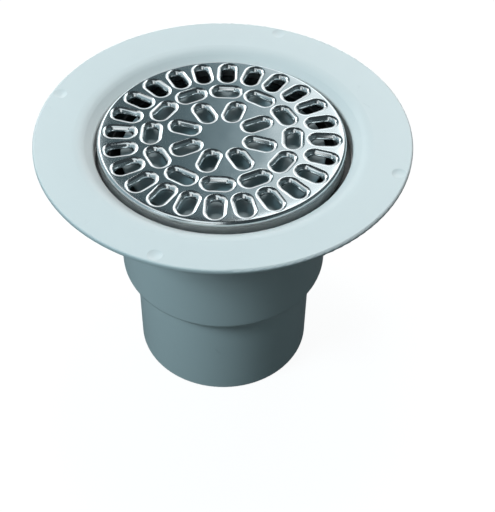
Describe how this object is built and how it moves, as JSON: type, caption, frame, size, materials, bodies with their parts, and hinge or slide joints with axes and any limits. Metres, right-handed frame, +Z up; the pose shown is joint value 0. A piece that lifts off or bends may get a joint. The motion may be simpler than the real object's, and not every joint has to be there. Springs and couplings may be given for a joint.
{
  "type": "floor drain",
  "caption": "Round floor drain: wide dished flange, loose slotted steel grate, deep bell-trap cup and straight vertical outlet spigot.",
  "frame": {"origin": "centre of the outlet spigot's end face", "axes": "+Z up along the drain's axis, out through the grate; -Y towards the picture's viewer"},
  "size_m": [0.176, 0.176, 0.1389],
  "materials": {
    "body_pvc": "moulded, satin",
    "bell_pvc": "moulded, satin",
    "ring_pp": "moulded, black",
    "grate_steel": "pressed and polished stainless sheet"
  },
  "bodies": {
    "root": {"drain_body": "body_pvc", "trap_bell": "bell_pvc", "funnel_ring": "ring_pp", "grate": "grate_steel"}
  },
  "joints": []
}
